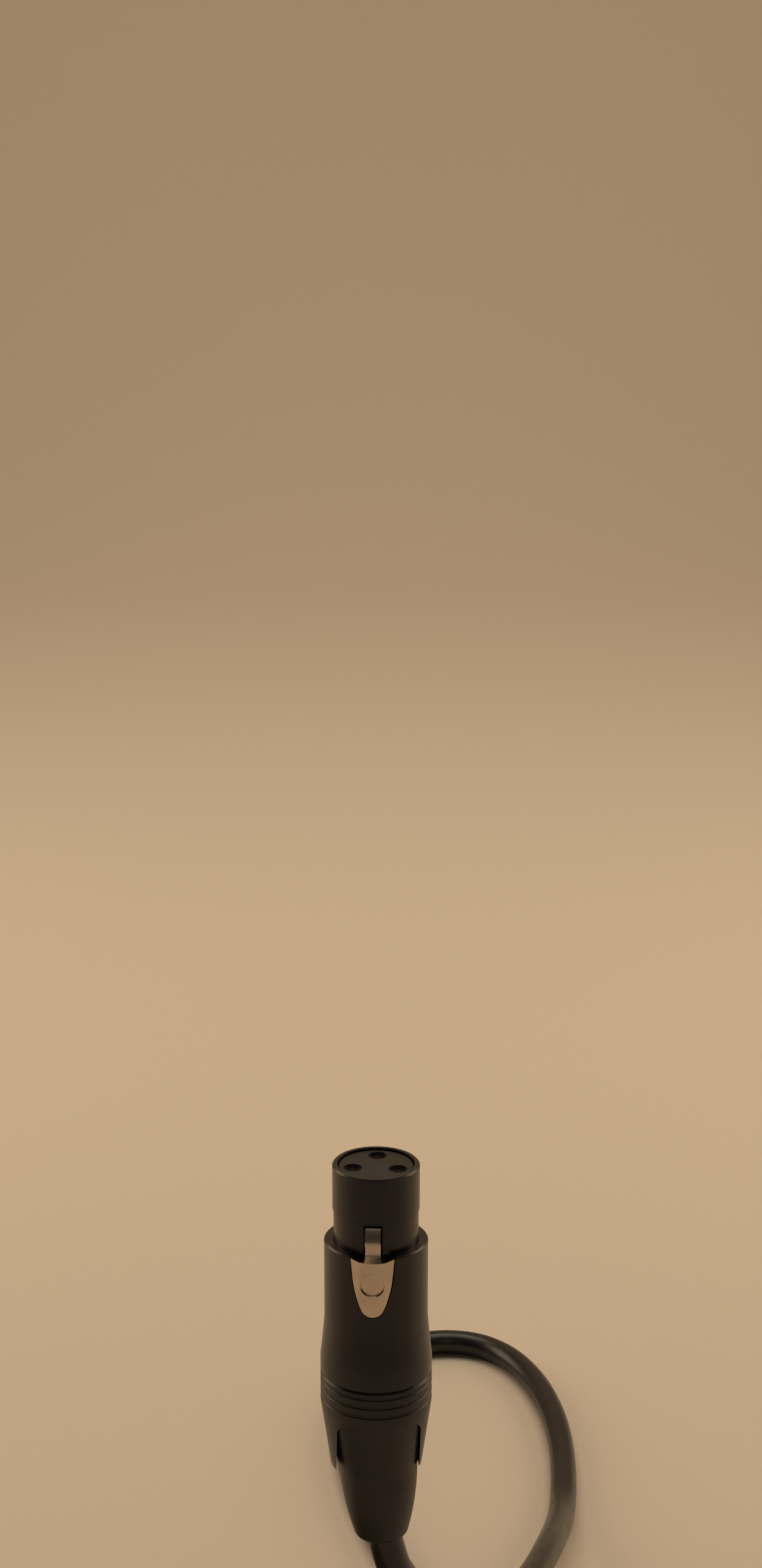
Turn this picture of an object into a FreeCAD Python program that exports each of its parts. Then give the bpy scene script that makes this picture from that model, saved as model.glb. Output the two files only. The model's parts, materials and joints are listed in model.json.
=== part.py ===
import FreeCAD, Part
import math
import os

# A three-pole XLR microphone cable, in millimetres: a female cable connector that
# stands mouth up, the cable that hangs out of its boot, one loose loop on the desk,
# the rest of the cable in a tied coil, and a male cable connector lying on the coil.
# The origin is the centre of the female connector's nose end face. +Z points out of
# its mouth, and the push latch faces -Y.

os.makedirs("parts", exist_ok=True)

V = FreeCAD.Vector
TURN = 360.0
NEAR = 0.01

# ---- connector shells -------------------------------------------------------------
NOSE_R = 7.95            # front land of the female nose, the part that guides it
NOSE_LAND = 8.5
NOSE_RELIEF_R = 7.75
RELIEF_RUN = 0.2         # length of the cone from the land down to the relief
NOSE_LENGTH = 14.5
NOSE_BORE_R = 7.0
EDGE = 0.3               # small chamfer on outer edges
OVERCUT = 1.0            # how far a cutter stands past what it cuts
BODY_R = 9.5
BODY_BORE_R = 7.85
FLARE_TOP = -29.5
FLARE_MID_R = 9.8
FLARE_MID = -33.0
COLLAR_R = 10.3
FLARE_END = -37.5
SEAM = -40.6             # joint between the metal shell and the boot ring
REAR_BORE_R = 8.35
REAR_BORE_TOP = -33.0
MALE_CAVITY_R = 8.12
MALE_CAVITY_DEPTH = 14.4
MALE_LIP_R = 7.4
MALE_LIP_END = -15.2

# ---- contacts and their carriers ----------------------------------------------------
PIN_CIRCLE_R = 4.35
PIN_ANGLES = (200.0, 340.0, 90.0)    # contacts 1, 2 and 3, seen from the mouth
SOCKET_BORE_R = 1.25
SOCKET_R = 1.7
SOCKET_FRONT = -1.2
SOCKET_BORE_DEPTH = 12.0
CUP_BORE_R = 0.95
CUP_R = 1.35
CUP_END = -27.0
CUP_BORE_TOP = -23.5
INSERT_REAR = -21.5
FEMALE_INSERT_FRONT = -0.4
FEMALE_INSERT_R = 6.95
INSERT_FLANGE_R = 7.75
INSERT_SHOULDER = -14.5
PIN_R = 1.2
PIN_COLLAR_R = 1.5
PIN_COLLAR_TOP = -14.7
PIN_TIP = -1.8
PIN_1_TIP = -1.3
PIN_NOSE = 0.9           # length of the rounded pin end
MALE_INSERT_FRONT = -14.6
MALE_INSERT_FRONT_R = 7.35

# ---- latch --------------------------------------------------------------------------
KEY_TURN = -4.0          # the connector's latch and contacts are turned this far towards -X
TAB_FACE_Y = -9.6
TAB_FLANK_Y = -8.85
TAB_BACK_Y = -7.7
TAB_TOP = -14.65
TAB_TOP_HALF = 3.95
TAB_TOP_DIP = 0.7        # how far the middle of the tab's top edge is hollowed
TAB_SIDE_Z = -18.5
TAB_SIDE_HALF = 3.58
TAB_LOW_Z = -24.65
TAB_LOW_HALF = 1.9
TAB_BOTTOM = -25.8
TAB_BULGE = 0.2          # how far the tab's lower sides swell past a straight line
PANEL_HALF = 2.35
DIMPLE_Z = -19.6
DIMPLE_R = 2.25
DIMPLE_FLOOR_R = 2.0
DIMPLE_DEPTH = 0.4
WINDOW_GAP = 0.22
WINDOW_BACK_Y = -5.8     # how far in the window and the hook's slot are cut
ARM_HALF = 1.4
ARM_BACK_Y = -6.4
ARM_FRONT_Y = -7.75
ARM_TOP = -9.3
ARM_ROOT_Y = -8.0        # the arm's foot is let into the tab down to here
HOOK_Y = -8.75
HOOK_CREST = -11.4
HOOK_CATCH = -12.4
NOSE_SLOT_HALF = 1.7
NOSE_SLOT_TOP = -8.9
PIVOT_Y = -7.7
PIVOT_Z = -24.3
PIVOT_PIN_R = 0.5
PIVOT_PLAY = 0.03
PIVOT_PIN_HALF = 4.2
PIVOT_BOSS_R = 1.25
PIVOT_BOSS_HALF = 1.9
PIVOT_BOSS_Y = -8.3
GROOVE_HALF = 2.2
GROOVE_FLOOR_Y = -4.9
GROOVE_TOP = -8.6
TAB_POCKET_HALF = 4.5
TAB_POCKET_Y = -6.5
SPRING_THICK = 0.25
SPRING_HALF = 1.5
SPRING_KNEE = -17.5
SPRING_TIP = -12.8
SPRING_GAP = 0.02        # between the spring's tip and the arm
SPRING_MITRE = 0.1
CATCH_HALF = 2.2
CATCH_TOP = -1.8
CATCH_END = -5.6

# ---- shell contact strips -------------------------------------------------------------
STRIP_HALF = 1.5
STRIP_THICK = 0.3
STRIP_OUT_Y = 7.65
STRIP_TOP = -15.6
STRIP_END = -21.5

# ---- strain relief and boot -------------------------------------------------------------
CABLE_R = 3.25
CHUCK_FRONT = -21.6
CHUCK_RING_R = 7.75
CHUCK_RING_BORE_R = 6.9
CHUCK_RING_END = -31.0
CHUCK_END = -45.0
CHUCK_END_R = 5.4
CHUCK_GRIP_R = 3.3
CHUCK_GRIP_TOP = -37.0
CHUCK_SLOT = 1.4
CHUCK_SLOT_TOP = -33.0
CHUCK_GATE_END = -28.0   # how far down the latch's room is cut into the collet
RIB_COUNT = 3
RIB_PITCH = 1.82
RIB_GROOVE_R = 0.35
RIB_CENTRE_R = 10.45
RIB_FIRST = -41.8
RING_END = -46.6
NUT_SPIGOT_TOP = -33.6
NUT_SPIGOT_R = 8.3
NUT_BORE_R = 7.65
NUT_BORE_END = -35.0
WING_END = -59.5
WING_END_R = 8.5
WING_BORE_R = 8.6        # inside of the wings at their root
WING_BORE_END_R = 7.2    # and at their ends
WING_HALF_ANGLE = 25.0
ARCH_TOP = -47.9         # where the two openings between the wings begin
ARCH_R = 2.6
BOOT_TURN = 5.0          # where the screwed boot ring comes to rest, from the front
SLEEVE_FLUSH = -47.4
SLEEVE_FLUSH_R = 10.0
SLEEVE_SHOULDER = -60.0
SLEEVE_SHOULDER_R = 7.3
SLEEVE_BELLY = -67.4
SLEEVE_BELLY_R = 6.55
SLEEVE_EDGE = -73.3
SLEEVE_EDGE_R = 5.2
SLEEVE_ROUND = -74.2
SLEEVE_ROUND_R = 4.75
SLEEVE_TIP = -74.6
SLEEVE_TIP_R = 3.9
SLEEVE_TOP = -46.5
SLEEVE_TOP_R = 6.0
SLEEVE_COLLAR_R = 6.8    # the sleeve inside the boot ring, just above the openings
SLEEVE_LEAN = 2.3        # the soft sleeve follows the pull of the cable, in degrees
LEAN_FROM = -50.0
JACKET_TOP = -36.0
JACKET_BOTTOM = -66.0
CORE_R = 0.8
CORE_START_R = 1.5
CORE_STRAIGHT = 2.6      # straight length at each end of a core
CORE_IN_CUP = 0.5        # gap between a core's end and the floor of its solder cup

# ---- cable ----------------------------------------------------------------------------
DESK = -149.0
ON_DESK = DESK + CABLE_R + 0.01
SMALL_RUN_SHARE = 0.45
ROUTE = [
    (0.64, 0.0, -66.0),
    (1.1, 0.0, -75.5),
    (5.2, 2.2, -88.5),
    (11.0, 11.5, -101.5),
    (18.5, 27.0, -112.0),
    (27.0, 46.0, -120.5),
    (34.3, 66.0, -126.8),
    (39.3, 86.0, -132.0),
    (42.9, 105.0, -138.7),
    (45.6, 123.0, -144.7),
    (47.3, 140.0, ON_DESK),
    (47.9, 157.0, ON_DESK),
    (46.8, 174.0, ON_DESK),
    (43.4, 190.0, ON_DESK),
    (37.6, 203.5, ON_DESK),
    (28.8, 212.3, ON_DESK),
    (16.6, 214.2, ON_DESK),
    (5.6, 209.0, ON_DESK),
    (-2.6, 197.0, ON_DESK),
    (-7.8, 180.0, ON_DESK),
    (-8.6, 161.0, ON_DESK),
    (-6.4, 142.0, ON_DESK),
    (-2.4, 123.5, ON_DESK),
    (3.0, 106.0, ON_DESK),
    (9.2, 88.5, ON_DESK),
    (16.5, 71.0, ON_DESK),
    (22.0, 52.0, ON_DESK),
    (25.0, 31.5, ON_DESK),
    (25.5, 10.0, ON_DESK),
]
COIL_X = -20.0
COIL_Y = 10.0
COIL_MID_R = 35.75
COIL_WIDE = 8.0 * CABLE_R
COIL_ROW = 6.2           # height from one layer of turns to the next
COIL_HIGH = 2.0 * CABLE_R + 2.0 * COIL_ROW
COIL_CORNER = 3.0
COIL_TOP = DESK + COIL_HIGH
TIE_ANGLE = 188.0
TIE_WIDE = 14.0
TIE_THICK = 1.2
TIE_CORNER = 4.0

# ---- male connector on the coil ------------------------------------------------------------
MALE_REST_GAP = 0.05
MALE_RIM_X = -73.0
MALE_AXIS_Y = -18.0
MALE_AXIS_Z = COIL_TOP + COLLAR_R + MALE_REST_GAP
TOP_TURN_Z = COIL_TOP - CABLE_R
TAIL_GAP = 0.1
OVER_Z = COIL_TOP + CABLE_R + TAIL_GAP   # the tail where it crosses over the coil
TAIL = [
    (-45.1, 16.7, TOP_TURN_Z),
    (-40.0, 26.6, TOP_TURN_Z + 1.2),
    (-32.6, 33.7, TOP_TURN_Z + 4.4),
    (-24.5, 42.2, OVER_Z - TAIL_GAP),
    (-12.0, 47.7, OVER_Z),
    (1.7, 44.8, OVER_Z),
    (13.5, 36.2, OVER_Z),
    (21.4, 23.4, OVER_Z + 0.3),
    (24.0, 8.5, OVER_Z + 1.6),
    (20.4, -5.4, OVER_Z + 3.9),
    (12.3, -14.5, MALE_AXIS_Z - 1.0),
    (2.5, MALE_AXIS_Y, MALE_AXIS_Z),
    (-7.0, MALE_AXIS_Y, MALE_AXIS_Z),
]


def save(shape, node):
    """Write one sub-part, after checking that each of its solids is closed."""
    solids = shape.Solids
    good = shape.isValid() and all(solid.isClosed() for solid in solids)
    print(f"{node:24s} solids {len(solids)} volume {shape.Volume:10.2f} {'ok' if good else 'BAD'}")
    shape.exportStep(f"parts/{node}.step")


def lathe(profile):
    """A solid of revolution about Z from a closed outline of (radius, z) points."""
    points = [V(r, 0, z) for r, z in profile]
    face = Part.Face(Part.makePolygon(points + points[:1]))
    return face.revolve(V(0, 0, 0), V(0, 0, 1), TURN)


def rod(radius, low, high, x=0.0, y=0.0):
    """A cylinder along Z between two heights."""
    return Part.makeCylinder(radius, high - low, V(x, y, low))


def block(x_low, x_high, y_low, y_high, z_low, z_high):
    """A box between two corners."""
    size = (x_high - x_low, y_high - y_low, z_high - z_low)
    return Part.makeBox(*size, V(x_low, y_low, z_low))


def turned(shape, degrees):
    """A copy of a shape turned about Z."""
    copy = shape.copy()
    copy.rotate(V(0, 0, 0), V(0, 0, 1), degrees)
    return copy


def contact_places():
    """Centres of the three contacts, as (x, y)."""
    places = []
    for angle in PIN_ANGLES:
        a = math.radians(angle)
        places.append((PIN_CIRCLE_R * math.cos(a), PIN_CIRCLE_R * math.sin(a)))
    return places


def rounded_path(points):
    """Straight runs joined by tangent arcs, each as large as its two runs allow."""
    corners = [V(*p) for p in points]
    edges = []
    radii = []
    here = corners[0]
    for before, corner, after in zip(corners, corners[1:], corners[2:]):
        back = (before - corner).normalize()
        ahead = (after - corner).normalize()
        half_turn = (math.pi - back.getAngle(ahead)) / 2
        trim = SMALL_RUN_SHARE * min(before.distanceToPoint(corner), after.distanceToPoint(corner))
        radius = trim / math.tan(half_turn)
        start = corner + back * trim
        end = corner + ahead * trim
        inward = (back + ahead).normalize()
        middle = corner + inward * (radius / math.cos(half_turn) - radius)
        edges.append(Part.LineSegment(here, start).toShape())
        edges.append(Part.Arc(start, middle, end).toShape())
        radii.append(radius)
        here = end
    edges.append(Part.LineSegment(here, corners[-1]).toShape())
    return Part.Wire(edges), radii


def tube(points, radius, name=None):
    """A round tube along a rounded path. With a name, its radii and volume are printed."""
    wire, radii = rounded_path(points)
    start = V(*points[0])
    heading = V(*points[1]) - start
    section = Part.Wire([Part.makeCircle(radius, start, heading)])
    solid = wire.makePipeShell([section], True, False)
    if name:
        share = solid.Volume / (math.pi * radius**2 * wire.Length)
        print(f"{name}: length {wire.Length:.1f}, volume over section times length {share:.4f}")
        print(f"{name}: radii", " ".join(f"{r:.0f}" for r in radii))
    return solid


def female_outline():
    """Outside and inside of the female shell, as (radius, z) points."""
    outside = [
        (NOSE_R - EDGE, 0.0),
        (NOSE_R, -EDGE),
        (NOSE_R, -NOSE_LAND),
        (NOSE_RELIEF_R, -NOSE_LAND - RELIEF_RUN),
        (NOSE_RELIEF_R, -NOSE_LENGTH),
        (BODY_R - EDGE, -NOSE_LENGTH),
        (BODY_R, -NOSE_LENGTH - EDGE),
    ]
    inside = [
        (BODY_BORE_R, INSERT_SHOULDER),
        (NOSE_BORE_R, INSERT_SHOULDER),
        (NOSE_BORE_R, 0.0),
    ]
    return outside, inside


def male_outline():
    """Outside and inside of the male shell, as (radius, z) points."""
    outside = [
        (BODY_R - EDGE, 0.0),
        (BODY_R, -EDGE),
    ]
    inside = [
        (BODY_BORE_R, MALE_LIP_END),
        (MALE_LIP_R, MALE_LIP_END),
        (MALE_LIP_R, -MALE_CAVITY_DEPTH),
        (MALE_CAVITY_R, -MALE_CAVITY_DEPTH),
        (MALE_CAVITY_R, 0.0),
    ]
    return outside, inside


def shell(outside, inside):
    """A die-cast shell: its front from the two outlines, then the flare and rear bore."""
    wall = [V(r, 0, z) for r, z in outside]
    wall.append(V(BODY_R, 0, FLARE_TOP))
    flare_end = V(COLLAR_R, 0, FLARE_END)
    rear = [
        flare_end,
        V(COLLAR_R, 0, SEAM + EDGE),
        V(COLLAR_R - EDGE, 0, SEAM),
        V(REAR_BORE_R, 0, SEAM),
        V(REAR_BORE_R, 0, REAR_BORE_TOP),
        V(BODY_BORE_R, 0, REAR_BORE_TOP),
    ]
    rear += [V(r, 0, z) for r, z in inside]
    edges = Part.makePolygon(wall).Edges
    edges.append(Part.Arc(wall[-1], V(FLARE_MID_R, 0, FLARE_MID), flare_end).toShape())
    edges += Part.makePolygon(rear + wall[:1]).Edges
    return Part.Face(Part.Wire(edges)).revolve(V(0, 0, 0), V(0, 0, 1), TURN)


def tab_outline(grow):
    """The tongue-shaped outline of the latch tab, grown on all sides, as a face in XZ."""
    def at(x, z):
        return V(x, 0, z)

    side_l, side_r = at(-TAB_SIDE_HALF - grow, TAB_SIDE_Z), at(TAB_SIDE_HALF + grow, TAB_SIDE_Z)
    low_l, low_r = at(-TAB_LOW_HALF - grow, TAB_LOW_Z), at(TAB_LOW_HALF + grow, TAB_LOW_Z)
    top_l, top_r = at(-TAB_TOP_HALF - grow, TAB_TOP + grow), at(TAB_TOP_HALF + grow, TAB_TOP + grow)
    bulge_half = 0.5 * (TAB_SIDE_HALF + TAB_LOW_HALF) + TAB_BULGE + grow
    bulge_z = 0.5 * (TAB_SIDE_Z + TAB_LOW_Z) - TAB_BULGE
    edges = [
        Part.LineSegment(top_l, side_l).toShape(),
        Part.Arc(side_l, at(-bulge_half, bulge_z), low_l).toShape(),
        Part.Arc(low_l, at(0, TAB_BOTTOM - grow), low_r).toShape(),
        Part.Arc(low_r, at(bulge_half, bulge_z), side_r).toShape(),
        Part.LineSegment(side_r, top_r).toShape(),
        Part.LineSegment(top_r, top_l).toShape(),
    ]
    return Part.Face(Part.Wire(edges))


def prism_y(face, y_low, y_high):
    """A face in the XZ plane pushed along Y from one place to the other."""
    moved = face.copy()
    moved.translate(V(0, y_low, 0))
    return moved.extrude(V(0, y_high - y_low, 0))


def prism_x(points, half):
    """An outline of (y, z) points pushed along X, half to each side."""
    corners = [V(-half, y, z) for y, z in points]
    face = Part.Face(Part.makePolygon(corners + corners[:1]))
    return face.extrude(V(2 * half, 0, 0))


def pivot_rod(radius, half):
    """A cylinder along X on the latch's pivot line."""
    return Part.makeCylinder(radius, 2 * half, V(-half, PIVOT_Y, PIVOT_Z), V(1, 0, 0))


def latch_lever():
    """The push tab with its dimple, the arm into the nose, the hook and the pivot hole."""
    flanks = [
        V(-TAB_TOP_HALF, TAB_FLANK_Y, TAB_BOTTOM),
        V(-PANEL_HALF, TAB_FACE_Y, TAB_BOTTOM),
        V(PANEL_HALF, TAB_FACE_Y, TAB_BOTTOM),
        V(TAB_TOP_HALF, TAB_FLANK_Y, TAB_BOTTOM),
        V(TAB_TOP_HALF, TAB_BACK_Y, TAB_BOTTOM),
        V(-TAB_TOP_HALF, TAB_BACK_Y, TAB_BOTTOM),
    ]
    bar = Part.Face(Part.makePolygon(flanks + flanks[:1])).extrude(V(0, 0, TAB_TOP - TAB_BOTTOM))
    tab = bar.common(prism_y(tab_outline(0.0), TAB_FACE_Y - OVERCUT, TAB_BACK_Y + OVERCUT))
    slope = (DIMPLE_R - DIMPLE_FLOOR_R) / DIMPLE_DEPTH
    dimple = Part.makeCone(
        DIMPLE_R + slope * OVERCUT,
        DIMPLE_FLOOR_R,
        DIMPLE_DEPTH + OVERCUT,
        V(0, TAB_FACE_Y - OVERCUT, DIMPLE_Z),
        V(0, 1, 0),
    )
    hollow_r = (TAB_TOP_HALF**2 + TAB_TOP_DIP**2) / (2 * TAB_TOP_DIP)
    hollow_z = TAB_TOP - TAB_TOP_DIP + hollow_r
    depth = TAB_BACK_Y - TAB_FACE_Y + 2 * OVERCUT
    hollow = Part.makeCylinder(hollow_r, depth, V(0, TAB_FACE_Y - OVERCUT, hollow_z), V(0, 1, 0))
    tab = tab.cut([dimple, hollow])
    arm = prism_x(
        [
            (ARM_BACK_Y, TAB_SIDE_Z),
            (ARM_BACK_Y, ARM_TOP),
            (ARM_FRONT_Y, ARM_TOP),
            (HOOK_Y, HOOK_CREST),
            (HOOK_Y, HOOK_CATCH),
            (ARM_FRONT_Y, HOOK_CATCH),
            (ARM_FRONT_Y, TAB_TOP),
            (ARM_ROOT_Y, TAB_TOP),
            (ARM_ROOT_Y, TAB_SIDE_Z),
        ],
        ARM_HALF,
    )
    boss = pivot_rod(PIVOT_BOSS_R, PIVOT_BOSS_HALF)
    boss = boss.common(prism_y(tab_outline(0.0), PIVOT_BOSS_Y, 0))
    lever = tab.fuse([arm, boss])
    return lever.cut(pivot_rod(PIVOT_PIN_R + PIVOT_PLAY, TAB_TOP_HALF)).removeSplitter()


def female_shell():
    """The female shell, with the latch window, the slot for the hook and the pin's holes."""
    body = shell(*female_outline())
    window = prism_y(tab_outline(WINDOW_GAP), -BODY_R - OVERCUT, WINDOW_BACK_Y)
    half = TAB_TOP_HALF + WINDOW_GAP
    lead_in = block(-half, half, -BODY_R - OVERCUT, -NOSE_RELIEF_R, TAB_TOP, -NOSE_LENGTH + OVERCUT)
    slot = block(-NOSE_SLOT_HALF, NOSE_SLOT_HALF, -BODY_R, WINDOW_BACK_Y, TAB_TOP, NOSE_SLOT_TOP)
    cut = window.fuse([lead_in, slot, pivot_rod(PIVOT_PIN_R, PIVOT_PIN_HALF)])
    return body.cut(cut)


def latch_room():
    """The space behind the latch that the insert and the chuck leave free."""
    groove = block(-GROOVE_HALF, GROOVE_HALF, -BODY_R, GROOVE_FLOOR_Y, CHUCK_GATE_END, GROOVE_TOP)
    pocket = block(-TAB_POCKET_HALF, TAB_POCKET_HALF, -BODY_R, TAB_POCKET_Y, CHUCK_GATE_END,
                   INSERT_SHOULDER + OVERCUT)
    return groove.fuse(pocket)


def latch_spring():
    """A leaf of spring steel: flat on the groove's floor, then bent out to the latch arm."""
    floor_y = GROOVE_FLOOR_Y
    tip_y = ARM_BACK_Y + SPRING_GAP
    outline = [
        (floor_y, INSERT_REAR),
        (floor_y, SPRING_KNEE),
        (tip_y + SPRING_THICK, SPRING_TIP),
        (tip_y, SPRING_TIP),
        (floor_y - SPRING_THICK, SPRING_KNEE - SPRING_MITRE),
        (floor_y - SPRING_THICK, INSERT_REAR),
    ]
    return prism_x(outline, SPRING_HALF)


def ground_strip():
    """A thin strip between the insert's flange and the shell, opposite the latch."""
    return block(-STRIP_HALF, STRIP_HALF, STRIP_OUT_Y - STRIP_THICK, STRIP_OUT_Y, STRIP_END, STRIP_TOP)


def strip_room():
    """The flat on the insert's flange that the strip lies in."""
    return block(-STRIP_HALF, STRIP_HALF, STRIP_OUT_Y - STRIP_THICK, BODY_R, INSERT_REAR, -MALE_CAVITY_DEPTH)


def female_insert():
    """The contact carrier of the female connector."""
    body = lathe([
        (0, FEMALE_INSERT_FRONT),
        (FEMALE_INSERT_R - EDGE, FEMALE_INSERT_FRONT),
        (FEMALE_INSERT_R, FEMALE_INSERT_FRONT - EDGE),
        (FEMALE_INSERT_R, INSERT_SHOULDER),
        (INSERT_FLANGE_R, INSERT_SHOULDER),
        (INSERT_FLANGE_R, INSERT_REAR),
        (0, INSERT_REAR),
    ])
    holes = [rod(SOCKET_R, INSERT_REAR, 0, x, y) for x, y in contact_places()]
    return body.cut(holes + [latch_room(), strip_room()])


def male_insert():
    """The contact carrier of the male connector."""
    body = lathe([
        (0, MALE_INSERT_FRONT),
        (MALE_INSERT_FRONT_R, MALE_INSERT_FRONT),
        (MALE_INSERT_FRONT_R, MALE_LIP_END),
        (INSERT_FLANGE_R, MALE_LIP_END),
        (INSERT_FLANGE_R, INSERT_REAR),
        (0, INSERT_REAR),
    ])
    holes = [rod(PIN_COLLAR_R, INSERT_REAR, 0, x, y) for x, y in contact_places()]
    return body.cut(holes + [strip_room()])


def solder_cup(radius, top):
    """The rear of a contact: a stem with a cup, open on the side that faces outwards."""
    stem = rod(radius, CUP_END, top)
    cup = rod(CUP_BORE_R, CUP_END, CUP_BORE_TOP)
    opening = block(0, radius + OVERCUT, -CUP_BORE_R, CUP_BORE_R, CUP_END, CUP_BORE_TOP)
    return stem.cut([cup, opening])


def socket_contact(x, y, angle):
    """A turned socket contact with its solder cup."""
    sleeve = rod(SOCKET_R, INSERT_REAR, SOCKET_FRONT)
    sleeve = sleeve.cut(rod(SOCKET_BORE_R, SOCKET_FRONT - SOCKET_BORE_DEPTH, SOCKET_FRONT))
    contact = turned(sleeve.fuse(solder_cup(CUP_R, INSERT_REAR)), angle)
    contact.translate(V(x, y, 0))
    return contact


def pin_contact(x, y, angle, tip):
    """A turned pin contact with a rounded end and a solder cup."""
    pin = lathe([
        (0, INSERT_REAR),
        (PIN_COLLAR_R, INSERT_REAR),
        (PIN_COLLAR_R, PIN_COLLAR_TOP),
        (PIN_R, PIN_COLLAR_TOP),
        (PIN_R, tip - PIN_NOSE),
        (0, tip - PIN_NOSE),
    ])
    nose = Part.makeSphere(PIN_R, V(0, 0, 0))
    stretch = FreeCAD.Matrix()
    stretch.scale(1.0, 1.0, PIN_NOSE / PIN_R)
    nose = nose.transformGeometry(stretch)
    nose.translate(V(0, 0, tip - PIN_NOSE))
    contact = turned(pin.fuse([nose, solder_cup(CUP_R, INSERT_REAR)]), angle)
    contact.translate(V(x, y, 0))
    return contact


def chuck(gate):
    """The collet: a ring behind the insert and four slotted legs that grip the jacket."""
    body = lathe([
        (CHUCK_RING_R, CHUCK_FRONT),
        (CHUCK_RING_R, CHUCK_RING_END),
        (CHUCK_END_R, CHUCK_END),
        (CHUCK_GRIP_R, CHUCK_END),
        (CHUCK_GRIP_R, CHUCK_GRIP_TOP),
        (CHUCK_RING_BORE_R, CHUCK_SLOT_TOP),
        (CHUCK_RING_BORE_R, CHUCK_FRONT),
    ])
    half = CHUCK_SLOT / 2
    wide = COLLAR_R
    slots = [
        block(-half, half, -wide, wide, CHUCK_END, CHUCK_SLOT_TOP),
        block(-wide, wide, -half, half, CHUCK_END, CHUCK_SLOT_TOP),
    ]
    return body.cut(slots + ([gate] if gate else []))


def boot_sleeve(lean, nut):
    """The soft tapered sleeve: it leans with the cable and fills the ring's two openings."""
    top = [
        V(CABLE_R, 0, SLEEVE_TIP),
        V(CABLE_R, 0, SLEEVE_TOP),
        V(SLEEVE_TOP_R, 0, SLEEVE_TOP),
        V(SLEEVE_COLLAR_R, 0, SLEEVE_FLUSH),
        V(SLEEVE_FLUSH_R, 0, SLEEVE_FLUSH),
        V(SLEEVE_SHOULDER_R, 0, SLEEVE_SHOULDER),
    ]
    edge = V(SLEEVE_EDGE_R, 0, SLEEVE_EDGE)
    tip = V(SLEEVE_TIP_R, 0, SLEEVE_TIP)
    edges = Part.makePolygon(top).Edges
    edges.append(Part.Arc(top[-1], V(SLEEVE_BELLY_R, 0, SLEEVE_BELLY), edge).toShape())
    edges.append(Part.Arc(edge, V(SLEEVE_ROUND_R, 0, SLEEVE_ROUND), tip).toShape())
    edges += Part.makePolygon([tip, top[0]]).Edges
    sleeve = Part.Face(Part.Wire(edges)).revolve(V(0, 0, 0), V(0, 0, 1), TURN)
    sleeve.rotate(V(0, 0, LEAN_FROM), V(0, 1, 0), -lean)
    return sleeve.cut(nut)


def boot_nut():
    """The hard screw ring: spigot, ribbed collar and two wings over the soft sleeve."""
    nut = lathe([
        (NUT_SPIGOT_R, NUT_SPIGOT_TOP),
        (NUT_SPIGOT_R, SEAM),
        (COLLAR_R - EDGE, SEAM),
        (COLLAR_R, SEAM - EDGE),
        (COLLAR_R, RING_END),
        (WING_END_R, WING_END + EDGE),
        (WING_END_R - EDGE, WING_END),
        (WING_BORE_END_R, WING_END),
        (WING_BORE_R, ARCH_TOP),
        (SLEEVE_COLLAR_R, ARCH_TOP),
        (SLEEVE_COLLAR_R, SLEEVE_TOP),
        (SLEEVE_TOP_R, SLEEVE_TOP),
        (NUT_BORE_R, NUT_BORE_END),
        (NUT_BORE_R, NUT_SPIGOT_TOP),
    ])
    grooves = []
    for i in range(RIB_COUNT):
        grooves.append(Part.makeTorus(RIB_CENTRE_R, RIB_GROOVE_R, V(0, 0, RIB_FIRST - i * RIB_PITCH)))
    open_half = WING_END_R * math.cos(math.radians(WING_HALF_ANGLE))
    side = COLLAR_R + OVERCUT
    arch = block(-open_half, open_half, -side, side, WING_END - OVERCUT, ARCH_TOP)
    arch = arch.makeFillet(ARCH_R, [e for e in arch.Edges if upper_y_edge(e, open_half)])
    return turned(nut.cut(grooves + [arch]), BOOT_TURN)


def upper_y_edge(edge, half):
    """True for the two upper edges of the window block that run along Y."""
    middle = edge.CenterOfMass
    return abs(abs(middle.x) - half) < NEAR and abs(middle.z - ARCH_TOP) < NEAR


def jacket_end(lean):
    """The jacket inside the connector, from the collet's hollow down into the sleeve."""
    a = math.radians(lean)
    below = LEAN_FROM - JACKET_BOTTOM
    end = (below * math.sin(a), 0.0, LEAN_FROM - below * math.cos(a))
    if not lean:
        return rod(CABLE_R, JACKET_BOTTOM, JACKET_TOP)
    return tube([(0, 0, JACKET_TOP), (0, 0, LEAN_FROM), end], CABLE_R)


def core(angle):
    """One insulated core, from the jacket's cut end out to its solder cup."""
    a = math.radians(angle)
    stations = [
        (CORE_START_R, JACKET_TOP),
        (CORE_START_R, JACKET_TOP + CORE_STRAIGHT),
        (PIN_CIRCLE_R, CUP_END - CORE_STRAIGHT),
        (PIN_CIRCLE_R, CUP_BORE_TOP - CORE_IN_CUP),
    ]
    points = [(r * math.cos(a), r * math.sin(a), z) for r, z in stations]
    return tube(points, CORE_R)


def cores(side):
    """The drain wire and the two cores of one connector, by name."""
    names = ("drain", "core_hot", "core_cold")
    return {f"{side}_{name}": core(angle) for name, angle in zip(names, PIN_ANGLES)}


def boot(side, lean):
    """The screw ring, the soft sleeve and the jacket inside them, by name."""
    nut = boot_nut()
    sleeve = boot_sleeve(lean, nut)
    jacket = jacket_end(lean)
    return {
        f"{side}_boot_nut": nut,
        f"{side}_boot_sleeve": sleeve.cut(jacket),
        f"{side}_jacket_end": jacket,
    }


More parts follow.
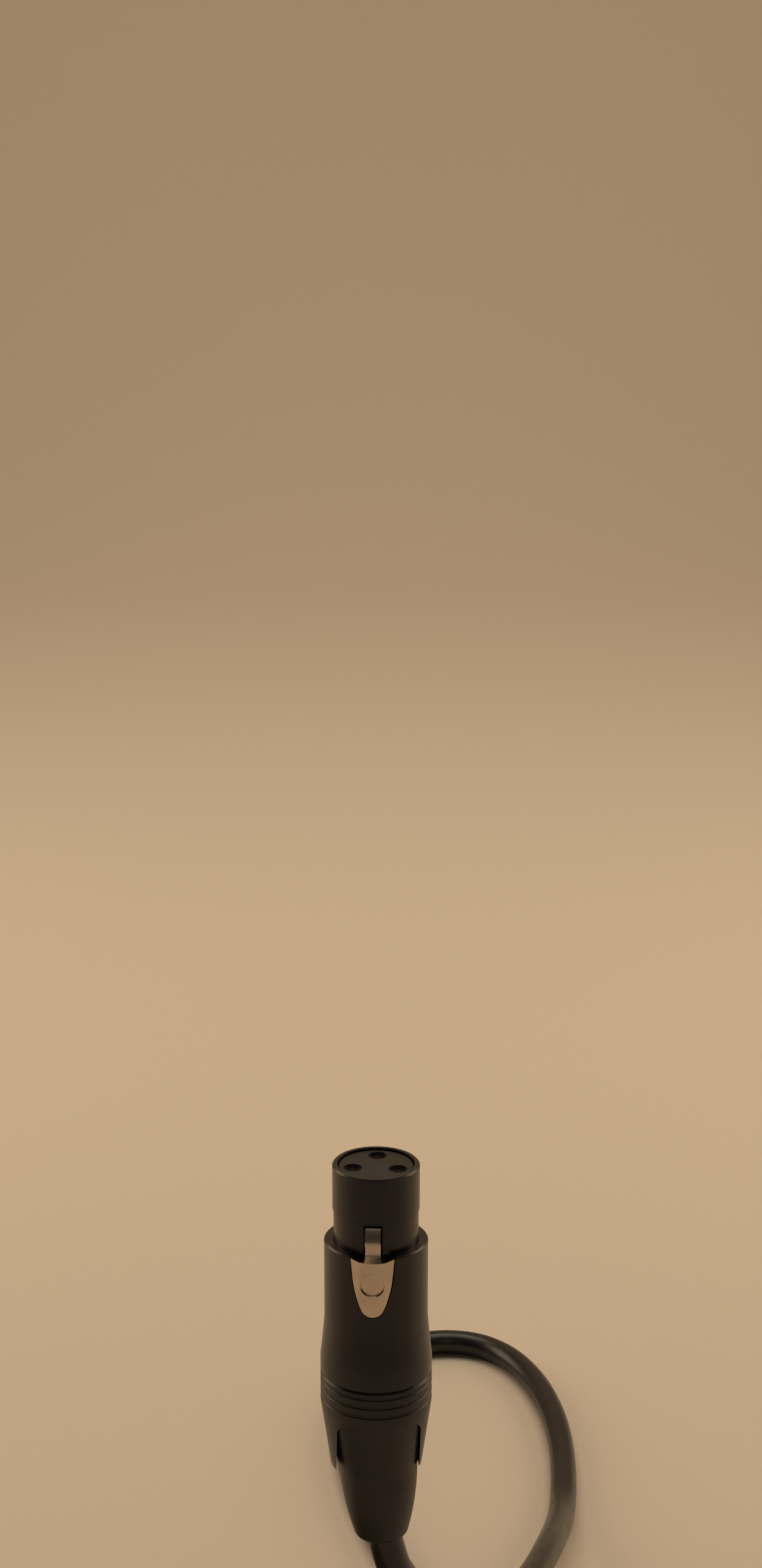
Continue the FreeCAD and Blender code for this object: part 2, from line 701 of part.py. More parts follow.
def female_parts():
    """The female connector with its latch, in place."""
    found = {
        "female_shell": female_shell(),
        "female_insert": female_insert(),
        "female_ground_strip": ground_strip(),
        "female_chuck": chuck(latch_room()),
        "latch_lever": latch_lever(),
        "latch_pin": pivot_rod(PIVOT_PIN_R, PIVOT_PIN_HALF),
        "latch_spring": latch_spring(),
    }
    for number, ((x, y), angle) in enumerate(zip(contact_places(), PIN_ANGLES), 1):
        found[f"female_contact_{number}"] = socket_contact(x, y, angle)
    found.update(cores("female"))
    found = {name: turned(shape, KEY_TURN) for name, shape in found.items()}
    found.update(boot("female", SLEEVE_LEAN))
    return found


def male_parts():
    """The male connector, in the same pose as the female one."""
    body = shell(*male_outline())
    catch = block(-CATCH_HALF, CATCH_HALF, -BODY_R - OVERCUT, -MALE_LIP_R, CATCH_END, CATCH_TOP)
    found = {
        "male_shell": body.cut(catch),
        "male_insert": male_insert(),
        "male_ground_strip": ground_strip(),
        "male_chuck": chuck(None),
    }
    for number, ((x, y), angle) in enumerate(zip(contact_places(), PIN_ANGLES), 1):
        tip = PIN_1_TIP if number == 1 else PIN_TIP
        found[f"male_pin_{number}"] = pin_contact(x, y, angle, tip)
    found.update(cores("male"))
    found.update(boot("male", 0.0))
    return found


def lay_on_coil(shape):
    """Lay the male connector on the coil: mouth towards -X, latch side up."""
    place = FreeCAD.Matrix()
    place.A11, place.A12, place.A13 = 0.0, 0.0, -1.0
    place.A21, place.A22, place.A23 = 1.0, 0.0, 0.0
    place.A31, place.A32, place.A33 = 0.0, -1.0, 0.0
    place.A14, place.A24, place.A34 = MALE_RIM_X, MALE_AXIS_Y, MALE_AXIS_Z
    return shape.transformed(place, True)


def rounded_section(width, height, corner, centre_z):
    """A rounded rectangle in the XZ plane, centred on the coil's middle radius."""
    low_x, high_x = COIL_MID_R - width / 2, COIL_MID_R + width / 2
    low_z, high_z = centre_z - height / 2, centre_z + height / 2
    slab = block(low_x, high_x, 0, OVERCUT, low_z, high_z)
    slab = slab.makeFillet(corner, [e for e in slab.Edges if abs(e.CenterOfMass.y - OVERCUT / 2) < NEAR])
    return [f for f in slab.Faces if abs(f.CenterOfMass.y) < NEAR][0]


def cable_coil():
    """The outer shape of the wound cable: a thick flat ring on the desk."""
    face = rounded_section(COIL_WIDE, COIL_HIGH, COIL_CORNER, DESK + COIL_HIGH / 2)
    ring = face.revolve(V(0, 0, 0), V(0, 0, 1), TURN)
    ring.translate(V(COIL_X, COIL_Y, 0))
    return ring


def cable_tie():
    """A flat strap closed round the coil's section."""
    outer_high = COIL_HIGH + TIE_THICK
    outer = rounded_section(COIL_WIDE + 2 * TIE_THICK, outer_high, TIE_CORNER, DESK + outer_high / 2)
    inner_high = outer_high - 2 * TIE_THICK
    inner = rounded_section(COIL_WIDE, inner_high, COIL_CORNER, DESK + outer_high / 2)
    strap = outer.extrude(V(0, TIE_WIDE, 0)).cut(inner.extrude(V(0, TIE_WIDE, 0)))
    strap.translate(V(0, -TIE_WIDE / 2, 0))
    strap = turned(strap, TIE_ANGLE)
    strap.translate(V(COIL_X, COIL_Y, 0))
    return strap


for node_name, node_shape in female_parts().items():
    save(node_shape, node_name)
for node_name, node_shape in male_parts().items():
    save(lay_on_coil(node_shape), node_name)
save(tube(ROUTE, CABLE_R, "cable_run"), "cable_run")
save(cable_coil(), "cable_coil")
save(tube(TAIL, CABLE_R, "cable_tail"), "cable_tail")
save(cable_tie(), "cable_tie")
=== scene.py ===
import json
import math

import bmesh
import bpy
from mathutils import Matrix, Vector


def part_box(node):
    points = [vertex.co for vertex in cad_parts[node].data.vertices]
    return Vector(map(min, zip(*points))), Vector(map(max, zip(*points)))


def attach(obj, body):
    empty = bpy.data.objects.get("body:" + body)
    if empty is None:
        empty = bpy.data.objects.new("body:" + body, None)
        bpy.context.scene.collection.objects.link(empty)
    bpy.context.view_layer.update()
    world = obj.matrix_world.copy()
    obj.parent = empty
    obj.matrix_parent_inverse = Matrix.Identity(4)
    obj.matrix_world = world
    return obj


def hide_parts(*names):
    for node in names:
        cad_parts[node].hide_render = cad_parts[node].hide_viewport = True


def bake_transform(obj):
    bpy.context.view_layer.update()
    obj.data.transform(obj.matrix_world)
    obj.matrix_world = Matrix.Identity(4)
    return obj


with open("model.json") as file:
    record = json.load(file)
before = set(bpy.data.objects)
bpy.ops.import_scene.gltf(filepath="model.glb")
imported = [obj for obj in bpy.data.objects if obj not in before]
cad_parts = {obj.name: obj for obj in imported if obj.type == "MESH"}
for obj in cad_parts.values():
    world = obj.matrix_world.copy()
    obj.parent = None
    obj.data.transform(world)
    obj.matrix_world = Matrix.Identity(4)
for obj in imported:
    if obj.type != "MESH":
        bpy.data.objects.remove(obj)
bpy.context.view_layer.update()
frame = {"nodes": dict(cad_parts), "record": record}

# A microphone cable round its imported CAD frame, in metres: the female connector stands
# mouth up, its cable drops to the desk and makes one loose loop, and the rest of it lies
# in a tied coil with the male connector on top.

MM = 0.001
RECORD = frame["record"]

CABLE_D = 6.5 * MM
CABLE_R = CABLE_D / 2
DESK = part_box("cable_run")[0].z


# ---- cable route: the same points as the CAD tubes, in millimetres ----------------------
ON_DESK = (DESK + CABLE_R) / MM
ROUTE = [
    (0.64, 0.0, -66.0),
    (1.1, 0.0, -75.5),
    (5.2, 2.2, -88.5),
    (11.0, 11.5, -101.5),
    (18.5, 27.0, -112.0),
    (27.0, 46.0, -120.5),
    (34.3, 66.0, -126.8),
    (39.3, 86.0, -132.0),
    (42.9, 105.0, -138.7),
    (45.6, 123.0, -144.7),
    (47.3, 140.0, ON_DESK),
    (47.9, 157.0, ON_DESK),
    (46.8, 174.0, ON_DESK),
    (43.4, 190.0, ON_DESK),
    (37.6, 203.5, ON_DESK),
    (28.8, 212.3, ON_DESK),
    (16.6, 214.2, ON_DESK),
    (5.6, 209.0, ON_DESK),
    (-2.6, 197.0, ON_DESK),
    (-7.8, 180.0, ON_DESK),
    (-8.6, 161.0, ON_DESK),
    (-6.4, 142.0, ON_DESK),
    (-2.4, 123.5, ON_DESK),
    (3.0, 106.0, ON_DESK),
    (9.2, 88.5, ON_DESK),
    (16.5, 71.0, ON_DESK),
    (22.0, 52.0, ON_DESK),
    (25.0, 31.5, ON_DESK),
    (25.5, 10.0, ON_DESK),
]
COIL_TURNS_WIDE = 4
COIL_TOP_LAYER = 2            # the layers are 0, 1 and 2
COIL_TAIL_GAP = 0.1           # between the coil and the tail that crosses it, in mm
COIL_LOW, COIL_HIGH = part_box("cable_coil")
COIL_CENTRE = (COIL_LOW + COIL_HIGH) / 2
COIL_MID_R = (COIL_HIGH.x - COIL_LOW.x) / 2 - COIL_TURNS_WIDE / 2 * CABLE_D
COIL_ROW = (COIL_HIGH.z - COIL_LOW.z - CABLE_D) / COIL_TOP_LAYER
TOP_TURN = (COIL_HIGH.z - CABLE_R) / MM
OVER_COIL = (COIL_HIGH.z + CABLE_R) / MM + COIL_TAIL_GAP
MALE_LOW, MALE_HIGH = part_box("male_shell")
MALE_AXIS = (MALE_LOW + MALE_HIGH) / 2
MALE_Y, MALE_Z = MALE_AXIS.y / MM, MALE_AXIS.z / MM
TAIL = [
    (-45.1, 16.7, TOP_TURN),
    (-40.0, 26.6, TOP_TURN + 1.2),
    (-32.6, 33.7, TOP_TURN + 4.4),
    (-24.5, 42.2, OVER_COIL - 0.1),
    (-12.0, 47.7, OVER_COIL),
    (1.7, 44.8, OVER_COIL),
    (13.5, 36.2, OVER_COIL),
    (21.4, 23.4, OVER_COIL + 0.3),
    (24.0, 8.5, OVER_COIL + 1.6),
    (20.4, -5.4, OVER_COIL + 3.9),
    (12.3, -14.5, MALE_Z - 1.0),
    (2.5, MALE_Y, MALE_Z),
    (-7.0, MALE_Y, MALE_Z),
]

# The coil is wound in layers of four, three and four turns. A slot is (radius in cable
# radii from the middle of the winding, layer), and each turn passes to the next slot
# between two angles of the way round.
SLOTS = [(3, 0), (1, 0), (-1, 0), (-3, 0), (-2, 1), (0, 1), (2, 1), (3, 2), (1, 2), (-1, 2), (-3, 2)]
IN_BOTTOM = (307, 350)
UP_FIRST = (265, 332)
OUT_MIDDLE = (259, 334)
UP_SECOND = (258, 326)
IN_TOP = (242, 284)
PASSES = [IN_BOTTOM] * 3 + [UP_FIRST] + [OUT_MIDDLE] * 2 + [UP_SECOND] + [IN_TOP] * 3
POINTS_PER_TURN = 24
COIL_SWEEP = 3795             # degrees that the coil turns through
SPLINE_PULL = 0.9915          # how far in the spline runs, as a share of its points' radius
TIE_ANGLE = 188.0             # where round the coil the tie sits, in degrees from +X
TIE_THICK = 1.2               # the coil's layers close up this much inside the tie, in mm
TIE_REACH = 34.0              # and spread again this many degrees away from it


def eased(share):
    """0 to 1 with a slow start and a slow end."""
    share = min(1.0, max(0.0, share))
    return share * share * (3 - 2 * share)


def coil_points():
    """The coil's control points, clockwise from above, in millimetres."""
    points = []
    step = 360 / POINTS_PER_TURN
    for i in range(1, int(COIL_SWEEP / step)):
        swept = i * step
        place, layer = SLOTS[0]
        for turn, (start, end) in enumerate(PASSES):
            share = eased((swept - 360 * turn - start) / (end - start))
            place += share * (SLOTS[turn + 1][0] - SLOTS[turn][0])
            layer += share * (SLOTS[turn + 1][1] - SLOTS[turn][1])
        radius = (COIL_MID_R + place * CABLE_R) / SPLINE_PULL / MM
        angle = -math.radians(swept)
        from_tie = abs((-swept - TIE_ANGLE + 180) % 360 - 180)
        lift = TIE_THICK * eased(1 - from_tie / TIE_REACH) * (1 - layer / COIL_TOP_LAYER)
        x = COIL_CENTRE.x / MM + radius * math.cos(angle)
        y = COIL_CENTRE.y / MM + radius * math.sin(angle)
        points.append((x, y, ON_DESK + layer * COIL_ROW / MM + lift))
    return points


# ---- strap, spring and edges: lengths in millimetres, angles in degrees -----------------
STRAP_WIDE = 14.0
STRAP_THICK = 1.05
STRAP_EDGE = 0.25             # chamfer along the strap's edges
STRAP_CORNER = 3.4            # radius of its middle line at the corners of the coil
STRAP_BENDS = 8               # steps round one corner
STRAP_START = -6.0            # where on top of the coil the strap begins
STRAP_HOLD = 4.0              # its first flat stretch
STRAP_STOP = 1.0              # how far before a corner a flat stretch ends
STRAP_LAP_GAP = 0.05          # between the free end and the start that it lies on
STRAP_RISE = (-3.0, 0.5)      # where the free end climbs, from the strap's start
STRAP_SPLIT_ANGLE = 60

SPRING_KNEE_SHARE = 0.46      # how far up the leaf spring its bend is
SPRING_CUTS = 8

MERGE_DISTANCE = 1e-6         # in metres, as the meshes are
EMPTY_EDGE = 1e-7
BEVEL_SEGMENTS = 3
BEVEL_ANGLE = 32
EDGE_WIDTHS = {
    "female_shell": 0.15,
    "female_insert": 0.1,
    "female_boot_nut": 0.12,
    "female_boot_sleeve": 0.2,
    "latch_lever": 0.12,
    "male_shell": 0.15,
    "male_insert": 0.1,
    "male_boot_nut": 0.12,
    "male_boot_sleeve": 0.2,
}


# ---- materials --------------------------------------------------------------------------
class Nodes:
    """A short way to write a node tree."""

    # the colour sockets of the Mix node, which share their names with its other sockets
    MIX_SHARE, MIX_FIRST, MIX_SECOND, MIX_RESULT = 0, 6, 7, 2

    def __init__(self, name):
        self.material = bpy.data.materials.new(name)
        self.material.use_nodes = True
        self.tree = self.material.node_tree
        self.shader = self.tree.nodes["Principled BSDF"]
        self.place = self.add("ShaderNodeTexCoord").outputs["Object"]

    def add(self, kind, inputs=None, **settings):
        node = self.tree.nodes.new(kind)
        for name, value in settings.items():
            setattr(node, name, value)
        for name, value in (inputs or {}).items():
            self.set(node, name, value)
        return node

    def set(self, node, name, value):
        if isinstance(value, bpy.types.NodeSocket):
            self.tree.links.new(value, node.inputs[name])
        else:
            node.inputs[name].default_value = value

    def stretched(self, scale):
        return self.add("ShaderNodeMapping", {"Vector": self.place, "Scale": scale}).outputs["Vector"]

    def noise(self, scale, detail=4.0, rough=0.5, vector=None):
        inputs = {"Vector": vector or self.place, "Scale": scale, "Detail": detail, "Roughness": rough}
        return self.add("ShaderNodeTexNoise", inputs).outputs["Fac"]

    def cells(self, scale):
        return self.add("ShaderNodeTexVoronoi", {"Vector": self.place, "Scale": scale}).outputs["Distance"]

    def ranged(self, value, low, high, new_low, new_high):
        inputs = {"Value": value, "From Min": low, "From Max": high, "To Min": new_low, "To Max": new_high}
        return self.add("ShaderNodeMapRange", inputs).outputs["Result"]

    def blend(self, share, first, second):
        node = self.add("ShaderNodeMix", data_type="RGBA")
        self.set(node, self.MIX_SHARE, share)
        self.set(node, self.MIX_FIRST, (*first, 1.0))
        self.set(node, self.MIX_SECOND, (*second, 1.0))
        return node.outputs[self.MIX_RESULT]

    def math(self, operation, first, second):
        node = self.add("ShaderNodeMath", operation=operation)
        self.set(node, 0, first)
        self.set(node, 1, second)
        return node.outputs[0]

    def bump(self, height, strength, distance, under=None):
        inputs = {"Height": height, "Strength": strength, "Distance": distance}
        if under:
            inputs["Normal"] = under
        return self.add("ShaderNodeBump", inputs).outputs["Normal"]

    def finish(self, **inputs):
        for name, value in inputs.items():
            self.set(self.shader, name.replace("_", " "), value)
        return self.material


def lacquered_metal(name):
    """Satin black lacquer on a die casting: faint orange peel, fine dust, rubbed patches."""
    n = Nodes(name)
    patches = n.noise(90, 3)
    peel = n.noise(900, 2)
    speck = n.noise(5200, 2)
    colour = n.blend(n.ranged(patches, 0.35, 0.75, 0.0, 1.0), (0.0085, 0.0075, 0.007), (0.015, 0.0125, 0.011))
    rough = n.math("ADD", n.ranged(patches, 0.3, 0.7, 0.27, 0.36), n.ranged(speck, 0.3, 0.7, -0.02, 0.03))
    normal = n.bump(speck, 0.10, 0.00002, n.bump(peel, 0.12, 0.00004))
    return n.finish(Base_Color=colour, Roughness=rough, Normal=normal)


def moulded_plastic(name, dark, light, rough, grain=1800):
    """Moulded plastic with a fine spark-eroded grain."""
    n = Nodes(name)
    patches = n.noise(120, 3)
    fine = n.noise(grain, 3, 0.6)
    colour = n.blend(n.ranged(patches, 0.35, 0.7, 0.0, 1.0), dark, light)
    roughness = n.math("ADD", n.ranged(patches, 0.3, 0.7, rough - 0.04, rough + 0.04),
                       n.ranged(fine, 0.3, 0.7, -0.03, 0.03))
    return n.finish(Base_Color=colour, Roughness=roughness, Normal=n.bump(fine, 0.3, 0.00004))


def soft_rubber(name):
    """The boot sleeve's soft elastomer: a silky surface with handling marks and a little dust."""
    n = Nodes(name)
    marks = n.noise(160, 5, 0.6)
    fine = n.noise(2600, 3, 0.6)
    colour = n.blend(n.ranged(marks, 0.4, 0.75, 0.0, 1.0), (0.012, 0.0105, 0.0095), (0.022, 0.0185, 0.016))
    rough = n.math("ADD", n.ranged(marks, 0.3, 0.7, 0.40, 0.50), n.ranged(fine, 0.3, 0.7, -0.03, 0.03))
    return n.finish(Base_Color=colour, Roughness=rough, Normal=n.bump(fine, 0.25, 0.00003))


def cable_jacket(name):
    """Extruded flexible PVC: semi-gloss, faint waves from the cores, scuffs and dust."""
    n = Nodes(name)
    scuffs = n.noise(260, 6, 0.62)
    waves = n.noise(130, 2)
    fine = n.noise(3800, 2)
    colour = n.blend(n.ranged(scuffs, 0.5, 0.8, 0.0, 1.0), (0.0105, 0.0098, 0.0095), (0.024, 0.0215, 0.019))
    rough = n.math("ADD", n.ranged(scuffs, 0.3, 0.7, 0.27, 0.38), n.ranged(fine, 0.3, 0.7, -0.02, 0.02))
    normal = n.bump(fine, 0.15, 0.00002, n.bump(waves, 0.25, 0.0003))
    return n.finish(Base_Color=colour, Roughness=rough, Normal=normal)


def plated_metal(name, base, rough):
    """Bright plating with the fine long scratches of use."""
    n = Nodes(name)
    cloud = n.noise(300, 4)
    lines = n.noise(1, 5, 0.7, n.stretched((9000, 9000, 350)))
    colour = n.blend(n.ranged(cloud, 0.35, 0.7, 0.0, 1.0), base, tuple(0.88 * c for c in base))
    roughness = n.math("ADD", n.ranged(cloud, 0.3, 0.7, rough - 0.03, rough + 0.05),
                       n.ranged(lines, 0.4, 0.7, 0.0, 0.08))
    normal = n.bump(lines, 0.35, 0.00001)
    return n.finish(Base_Color=colour, Metallic=1.0, Roughness=roughness, Normal=normal)


def twisted_copper(name):
    """A bundle of fine bare copper strands."""
    n = Nodes(name)
    strands = n.noise(1, 2, 0.5, n.stretched((5000, 5000, 600)))
    colour = n.blend(n.ranged(strands, 0.4, 0.6, 0.0, 1.0), (0.52, 0.22, 0.10), (0.86, 0.46, 0.28))
    return n.finish(Base_Color=colour, Metallic=1.0, Roughness=0.32, Normal=n.bump(strands, 0.6, 0.0001))


def looped_nylon(name):
    """The loop side of a hook-and-loop strap: a felt of tiny loops."""
    n = Nodes(name)
    loops = n.cells(2300)
    felt = n.noise(1500, 6, 0.7)
    height = n.math("ADD", n.math("MULTIPLY", loops, 0.7), felt)
    colour = n.blend(n.ranged(height, 0.5, 1.1, 0.0, 1.0), (0.028, 0.027, 0.027), (0.006, 0.006, 0.006))
    normal = n.bump(height, 0.9, 0.00035)
    return n.finish(Base_Color=colour, Roughness=0.92, Sheen_Weight=0.4, Sheen_Roughness=0.45, Normal=normal)


PLASTICS = {
    "contact_carrier": ((0.012, 0.012, 0.012), (0.02, 0.019, 0.018), 0.5),
    "collet_plastic": ((0.45, 0.44, 0.42), (0.56, 0.55, 0.52), 0.55, 1200),
    "boot_ring_plastic": ((0.0095, 0.0085, 0.008), (0.016, 0.014, 0.0125), 0.38),
    "red_insulation": ((0.42, 0.012, 0.012), (0.52, 0.02, 0.018), 0.35, 1500),
    "white_insulation": ((0.66, 0.66, 0.63), (0.75, 0.75, 0.72), 0.35, 1500),
}
METALS = {
    "contact_metal": ((0.83, 0.80, 0.74), 0.2),
    "nickel": ((0.72, 0.60, 0.49), 0.17),
    "spring_steel": ((0.50, 0.50, 0.50), 0.3),
}
MATERIALS = {
    "black_shell": lacquered_metal("black_shell"),
    "boot_sleeve_rubber": soft_rubber("boot_sleeve_rubber"),
    "cable_jacket": cable_jacket("cable_jacket"),
    "bare_copper": twisted_copper("bare_copper"),
    "hook_and_loop": looped_nylon("hook_and_loop"),
}
MATERIALS.update({name: moulded_plastic(name, *values) for name, values in PLASTICS.items()})
MATERIALS.update({name: plated_metal(name, *values) for name, values in METALS.items()})
SLOT_OF = {row["node"]: row["material_slot"] for row in RECORD["subparts"]}


def paint(piece, slot_name):
    """Give a piece the finish of one of the record's slots."""
    piece.data.materials.clear()
    piece.data.materials.append(MATERIALS[slot_name])


# ---- pieces -----------------------------------------------------------------------------
def add_piece(name, data, body, slot_name, *nodes):
    """A new piece that stands for CAD nodes and rides on a body, or on none if it bends."""
    piece = bpy.data.objects.new(name, data)
    bpy.context.scene.collection.objects.link(piece)
    paint(piece, slot_name)
    if body:
        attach(piece, body)
    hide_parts(*nodes)
    return piece


def cable():
    """The whole cable as one smooth spline, from inside the female boot to the male one."""
    points = [Vector(p) * MM for p in ROUTE + coil_points() + TAIL]
    curve = bpy.data.curves.new("cable", "CURVE")
    curve.dimensions = "3D"
    curve.resolution_u = 6
    curve.bevel_depth = CABLE_R
    curve.bevel_resolution = 9
    curve.use_fill_caps = True
    line = curve.splines.new("NURBS")
    line.points.add(len(points) - 1)
    for knot, place in zip(line.points, points):
        knot.co = (*place, 1.0)
    line.order_u = 3
    line.use_endpoint_u = True
    return add_piece("cable", curve, "root", "cable_jacket", "cable_run", "cable_coil", "cable_tail")


def softened(node, width):
    """A copy of a CAD node's own mesh with its hard edges rounded to a width in mm."""
    mesh = frame["nodes"][node].data.copy()
    work = bmesh.new()
    work.from_mesh(mesh)
    bmesh.ops.remove_doubles(work, verts=work.verts, dist=MERGE_DISTANCE)
    bmesh.ops.dissolve_degenerate(work, edges=work.edges, dist=EMPTY_EDGE)
    work.to_mesh(mesh)
    work.free()
    mesh.attributes.remove(mesh.attributes["custom_normal"])
    mesh.shade_smooth()
    body = "latch" if node == "latch_lever" else "root"
    piece = add_piece(f"{node}_body", mesh, body, SLOT_OF[node], node)
    bevel = piece.modifiers.new("edges", "BEVEL")
    bevel.width = width * MM
    bevel.segments = BEVEL_SEGMENTS
    bevel.limit_method = "ANGLE"
    bevel.angle_limit = math.radians(BEVEL_ANGLE)
    bevel.harden_normals = True
    bevel.use_clamp_overlap = True


def strap_path():
    """The strap's middle line round the coil, as (out, up, normal out, normal up), in mm: once
    round and then over its own start, so that the free end lies on top."""
    half_wide = (COIL_HIGH.x - COIL_LOW.x) / MM / 2 - COIL_MID_R / MM + TIE_THICK / 2
    low = TIE_THICK / 2
    high = (COIL_HIGH.z - COIL_LOW.z) / MM + TIE_THICK / 2
    straight = half_wide - STRAP_CORNER
    lapped = high + STRAP_THICK + STRAP_LAP_GAP
    start = [
        (STRAP_START, high, 0.0, 1.0),
        (STRAP_START + STRAP_HOLD, high, 0.0, 1.0),
        (straight - STRAP_STOP, high, 0.0, 1.0),
    ]
    corners = [
        (straight, high - STRAP_CORNER, 90, 0),
        (straight, low + STRAP_CORNER, 0, -90),
        (-straight, low + STRAP_CORNER, -90, -180),
        (-straight, high - STRAP_CORNER, -180, -270),
    ]
    around = []
    for out, up, first, last in corners:
        for i in range(STRAP_BENDS + 1):
            a = math.radians(first + (last - first) * i / STRAP_BENDS)
            n_out, n_up = math.cos(a), math.sin(a)
            around.append((out + STRAP_CORNER * n_out, up + STRAP_CORNER * n_up, n_out, n_up))
    free_end = [
        (STRAP_START + STRAP_RISE[0], high, 0.0, 1.0),
        (STRAP_START + STRAP_RISE[1], lapped, 0.0, 1.0),
        (straight - STRAP_STOP, lapped, 0.0, 1.0),
    ]
    return start + around + free_end


def strap_section():
    """The strap's cross-section with its long edges cut off, as (across, through), in mm."""
    half, thick = STRAP_WIDE / 2, STRAP_THICK / 2
    return [
        (-half + STRAP_EDGE, -thick),
        (half - STRAP_EDGE, -thick),
        (half, -thick + STRAP_EDGE),
        (half, thick - STRAP_EDGE),
        (half - STRAP_EDGE, thick),
        (-half + STRAP_EDGE, thick),
        (-half, thick - STRAP_EDGE),
        (-half, -thick + STRAP_EDGE),
    ]


def strap():
    """A hook-and-loop cable tie: one band round the coil whose free end sticks to its start."""
    middle = Vector((COIL_CENTRE.x, COIL_CENTRE.y, DESK))
    turn = Matrix.Rotation(math.radians(TIE_ANGLE), 4, "Z")
    mesh = bpy.data.meshes.new("cable_tie_strap")
    work = bmesh.new()
    section = strap_section()
    rings = []
    for out, up, n_out, n_up in strap_path():
        ring = []
        for across, through in section:
            local = Vector((COIL_MID_R / MM + out + n_out * through, across, up + n_up * through))
            ring.append(work.verts.new(middle + turn @ local * MM))
        rings.append(ring)
    for ring, after in zip(rings, rings[1:]):
        for i in range(len(section)):
            j = (i + 1) % len(section)
            work.faces.new((ring[i], ring[j], after[j], after[i]))
    work.faces.new(rings[0])
    work.faces.new(rings[-1][::-1])
    bmesh.ops.recalc_face_normals(work, faces=work.faces)
    work.to_mesh(mesh)
    work.free()
    mesh.shade_smooth()
    piece = add_piece("cable_tie_strap", mesh, "root", "hook_and_loop", "cable_tie")
    edges = piece.modifiers.new("edges", "EDGE_SPLIT")
    edges.split_angle = math.radians(STRAP_SPLIT_ANGLE)
    return piece


def bending_spring():
    """The leaf spring, cut into short lengths above its knee and left on no body."""
    low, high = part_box("latch_spring")
    knee = low.lerp(high, SPRING_KNEE_SHARE)
    mesh = frame["nodes"]["latch_spring"].data.copy()
    work = bmesh.new()
    work.from_mesh(mesh)
    bmesh.ops.remove_doubles(work, verts=work.verts, dist=MERGE_DISTANCE)
    for i in range(1, SPRING_CUTS):
        height = knee.z + (high.z - knee.z) * i / SPRING_CUTS
        everything = list(work.verts) + list(work.edges) + list(work.faces)
        bmesh.ops.bisect_plane(work, geom=everything, plane_co=(0, 0, height), plane_no=(0, 0, 1))
    work.to_mesh(mesh)
    work.free()
    mesh.attributes.remove(mesh.attributes["custom_normal"])
    mesh.shade_flat()
    spring = add_piece("latch_spring_leaf", mesh, None, "spring_steel", "latch_spring")
    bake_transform(spring)


for node, thing in frame["nodes"].items():
    paint(thing, SLOT_OF[node])

cord = cable()
tie = strap()
for node, width in EDGE_WIDTHS.items():
    softened(node, width)
bending_spring()

MALE_PIECES = [n for n in frame["nodes"] if n.startswith("male_") and not frame["nodes"][n].hide_render]
MALE_PIECES += [f"{n}_body" for n in EDGE_WIDTHS if n.startswith("male_")]


# ---- stage ------------------------------------------------------------------------------
STAGE_HALF_WIDE = 3.0
STAGE_FRONT = -2.6
STAGE_BACK = 1.5
STAGE_BEND = 0.8              # radius of the curve from the floor into the backdrop
STAGE_BEND_STEPS = 16
STAGE_TOP = 3.5


def pale_stage():
    """A pale floor that curves up into a backdrop."""
    n = Nodes("stage_paper")
    grain = n.noise(900, 3)
    colour = n.blend(n.ranged(grain, 0.3, 0.7, 0.0, 1.0), (0.745, 0.64, 0.52), (0.765, 0.66, 0.54))
    paper = n.finish(Base_Color=colour, Roughness=0.85, Normal=n.bump(grain, 0.1, 0.0001))
    profile = [(STAGE_FRONT, 0.0)]
    for i in range(STAGE_BEND_STEPS + 1):
        a = math.radians(90 * i / STAGE_BEND_STEPS)
        profile.append((STAGE_BACK + STAGE_BEND * math.sin(a), STAGE_BEND * (1 - math.cos(a))))
    profile.append((STAGE_BACK + STAGE_BEND, STAGE_TOP))
    mesh = bpy.data.meshes.new("stage")
    work = bmesh.new()
    rows = []
    for x in (-STAGE_HALF_WIDE, STAGE_HALF_WIDE):
        rows.append([work.verts.new((x, y, DESK + z)) for y, z in profile])
    for a, b, c, d in zip(rows[0], rows[1], rows[1][1:], rows[0][1:]):
        work.faces.new((a, b, c, d))
    work.to_mesh(mesh)
    work.free()
    mesh.shade_smooth()
    floor = bpy.data.objects.new("stage", mesh)
    floor.data.materials.append(paper)
    bpy.context.scene.collection.objects.link(floor)


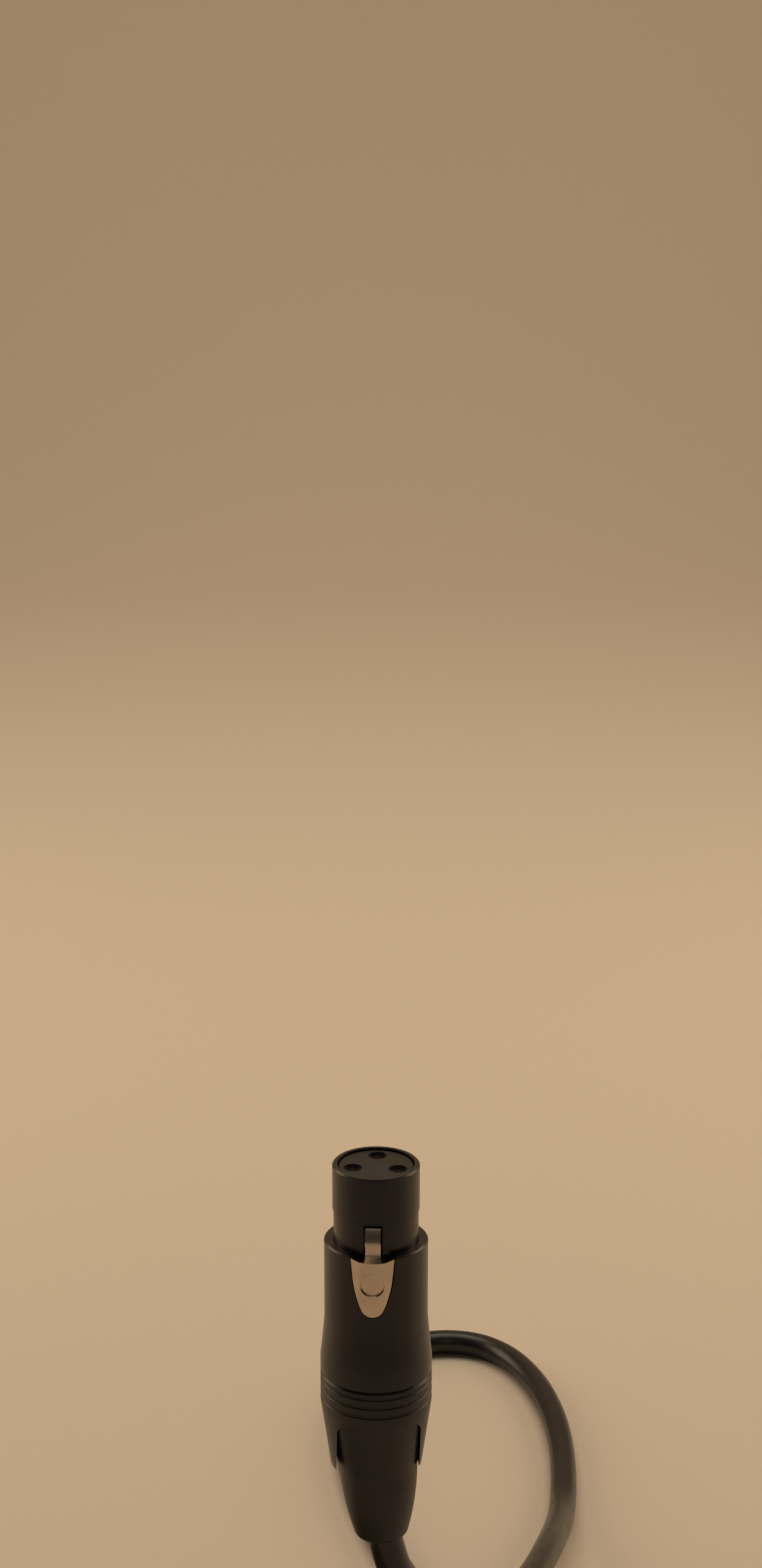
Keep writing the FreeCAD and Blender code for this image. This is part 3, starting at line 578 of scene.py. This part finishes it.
def soft_light(name, place, target, size, power, colour):
    """A rectangular soft box that faces a target."""
    lamp = bpy.data.lights.new(name, "AREA")
    lamp.shape = "RECTANGLE"
    lamp.size, lamp.size_y = size
    lamp.energy = power
    lamp.color = colour
    box = bpy.data.objects.new(name, lamp)
    box.location = place
    box.rotation_euler = (Vector(target) - Vector(place)).to_track_quat("-Z", "Y").to_euler()
    bpy.context.scene.collection.objects.link(box)


WARM = (1.0, 0.77, 0.52)
SOFT_WHITE = (1.0, 0.90, 0.76)
WORLD_COLOUR = (1.0, 0.86, 0.70, 1.0)
WORLD_STRENGTH = 0.035
MIDDLE = (0.0, 0.0, -0.05)    # a point on the female connector's axis, near the boot ring

pale_stage()
soft_light("left_box", (-0.9, 0.45, 0.25), MIDDLE, (0.5, 1.0), 4.4, WARM)
soft_light("right_box", (0.9, 0.45, 0.25), MIDDLE, (0.5, 1.0), 4.4, WARM)
soft_light("top_box", (0.0, 0.5, 1.5), (0.0, 0.5, 0.0), (1.6, 1.2), 8, SOFT_WHITE)
soft_light("wall_box", (0.0, 0.9, 2.2), (0.0, 2.2, 0.9), (2.4, 0.8), 17, WARM)
soft_light("front_box", (0.1, -1.4, 0.9), MIDDLE, (0.5, 0.3), 0.7, SOFT_WHITE)

world = bpy.data.worlds.new("studio")
world.use_nodes = True
background = world.node_tree.nodes["Background"]
background.inputs["Color"].default_value = WORLD_COLOUR
background.inputs["Strength"].default_value = WORLD_STRENGTH
bpy.context.scene.world = world
bpy.context.scene.view_settings.view_transform = "Standard"

# ---- camera -----------------------------------------------------------------------------
LENS_LENGTH = 54.08
SENSOR_WIDTH = 36.0
CAMERA_PLACE = (0.0009, -0.3967, 0.1695)
CAMERA_TILT = 76.0            # degrees up from looking straight down

lens = bpy.data.cameras.new("camera")
lens.lens = LENS_LENGTH
lens.sensor_width = SENSOR_WIDTH
camera = bpy.data.objects.new("camera", lens)
camera.location = CAMERA_PLACE
camera.rotation_euler = (math.radians(CAMERA_TILT), 0.0, 0.0)
bpy.context.scene.collection.objects.link(camera)
bpy.context.scene.camera = camera
